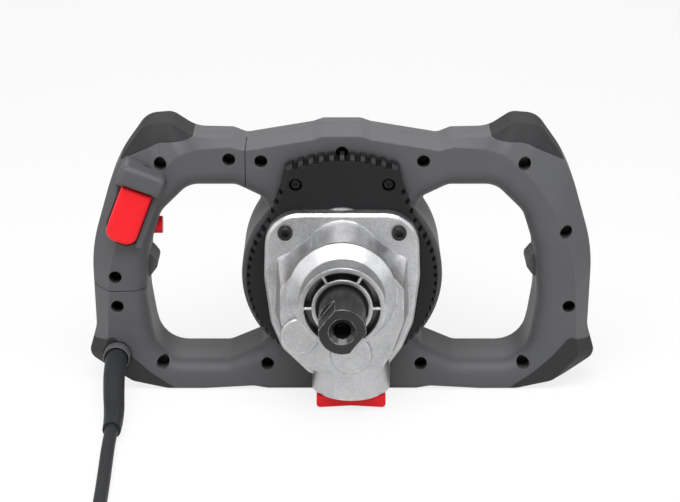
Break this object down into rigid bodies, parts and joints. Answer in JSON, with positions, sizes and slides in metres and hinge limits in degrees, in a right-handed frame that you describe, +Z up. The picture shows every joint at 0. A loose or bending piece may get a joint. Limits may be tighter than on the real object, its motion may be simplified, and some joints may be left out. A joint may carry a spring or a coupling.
{
  "type": "mixing drill",
  "caption": "Hand-held mixing drill: two loop grips round a motor, a two-speed gearbox with a threaded spindle for a stirring paddle, a trigger, a lock button and a mains lead.",
  "frame": {"origin": "on the floor under the middle of the box round the drill without its free lead; the handle shells part on y = 0", "axes": "+X across the two grips to the side without the switch, +Y along the spindle towards the motor, +Z up"},
  "size_m": [0.355, 0.5961, 0.1897],
  "materials": {
    "frame_grey": "fine-grained mid grey moulding",
    "bumper_rubber": "matt dark grey over-moulded rubber",
    "cord_rubber": "satin black rubber",
    "black_plastic": "satin black moulding",
    "red_plastic": "semi-gloss red moulding",
    "cast_alloy": "shot-blasted die casting",
    "black_steel": "black oxide",
    "bright_steel": "ground",
    "lamination": "stacked sheet, bare",
    "copper": "enamelled wire",
    "brass": "plain",
    "carbon": "pressed graphite"
  },
  "bodies": {
    "housing": {"front_shell": "frame_grey", "rear_shell": "frame_grey", "switch_handle_cover": "frame_grey", "top_right_bumper": "bumper_rubber", "top_left_bumper": "bumper_rubber", "foot_right_bumper": "bumper_rubber", "foot_left_bumper": "bumper_rubber", "cord_guard": "cord_rubber", "power_cord": "cord_rubber", "cord_coil": "cord_rubber", "plug": "cord_rubber", "vent_plate": "black_plastic", "switch_body": "black_plastic", "motor_housing": "black_plastic", "motor_cap": "black_plastic", "cord_tie": "black_plastic", "spindle_seal": "black_plastic", "gear_case": "cast_alloy", "bearing_bracket": "cast_alloy", "gearbox_cover": "cast_alloy", "shell_screws": "black_steel", "vent_plate_screws": "black_steel", "gear_case_screws": "black_steel", "trigger_pin": "bright_steel", "spindle_front_bearing": "bright_steel", "spindle_rear_bearing": "bright_steel", "layshaft_front_bearing": "bright_steel", "layshaft_rear_bearing": "bright_steel", "motor_front_bearing": "bright_steel", "motor_rear_bearing": "bright_steel", "brush_springs": "bright_steel", "stator_core": "lamination", "field_coils": "copper", "brush_holders": "brass", "plug_pins": "brass", "carbon_brushes": "carbon"},
    "armature": {"armature_shaft": "bright_steel", "armature_core": "lamination", "armature_windings": "copper", "commutator": "copper", "fan": "black_plastic"},
    "layshaft": {"layshaft": "bright_steel", "layshaft_high_gear": "bright_steel", "layshaft_first_gear": "bright_steel"},
    "low_gear": {"low_gear": "bright_steel"},
    "high_gear": {"high_gear": "bright_steel"},
    "spindle": {"spindle": "black_steel"},
    "dog_clutch": {"dog_clutch": "bright_steel"},
    "selector": {"selector_knob": "red_plastic"},
    "fork": {"selector_fork": "bright_steel"},
    "trigger": {"trigger": "red_plastic"},
    "lock_button": {"lock_button": "red_plastic"}
  },
  "joints": [
    {"name": "armature_spin", "type": "hinge", "parent": "housing", "child": "armature", "pos_m": [0, 0, 0.086], "axis": [0, 1, 0], "continuous": true},
    {"name": "layshaft_spin", "type": "hinge", "parent": "housing", "child": "layshaft", "pos_m": [-0.02333, 0, 0.06267], "axis": [0, 1, 0], "continuous": true},
    {"name": "low_gear_spin", "type": "hinge", "parent": "housing", "child": "low_gear", "pos_m": [0, 0, 0.086], "axis": [0, 1, 0], "continuous": true},
    {"name": "high_gear_spin", "type": "hinge", "parent": "housing", "child": "high_gear", "pos_m": [0, 0, 0.086], "axis": [0, 1, 0], "continuous": true},
    {"name": "spindle_spin", "type": "hinge", "parent": "housing", "child": "spindle", "pos_m": [0, 0, 0.086], "axis": [0, 1, 0], "continuous": true},
    {"name": "selector_turn", "type": "hinge", "parent": "housing", "child": "selector", "pos_m": [0.0062, -0.05741, 0], "axis": [0, 0, 1], "range_deg": [0, 90]},
    {"name": "fork_slide", "type": "slide", "parent": "housing", "child": "fork", "axis": [0, 1, 0], "range_m": [0, 0.005]},
    {"name": "clutch_slide", "type": "slide", "parent": "spindle", "child": "dog_clutch", "axis": [0, 1, 0], "range_m": [0, 0.005]},
    {"name": "trigger_pull", "type": "hinge", "parent": "housing", "child": "trigger", "pos_m": [-0.1395, -0.029, 0.14616], "axis": [0.9336, 0, -0.3584], "range_deg": [0, 7], "stiffness_Nm_per_rad": 1.2, "springref_deg": -8.59},
    {"name": "lock_press", "type": "slide", "parent": "housing", "child": "lock_button", "axis": [-1, 0, 0], "range_m": [0, 0.003], "stiffness_N_per_m": 600, "springref_m": -0.003}
  ],
  "couplings": [
    {"joint": "layshaft_spin", "follows": "armature_spin", "ratio": -0.27907},
    {"joint": "low_gear_spin", "follows": "armature_spin", "ratio": 0.07788},
    {"joint": "high_gear_spin", "follows": "armature_spin", "ratio": 0.14729},
    {"joint": "spindle_spin", "follows": "armature_spin", "ratio": 0.07788},
    {"joint": "selector_turn", "follows": "fork_slide", "rad_per_m": 314.16},
    {"joint": "clutch_slide", "follows": "fork_slide", "ratio": 1}
  ]
}
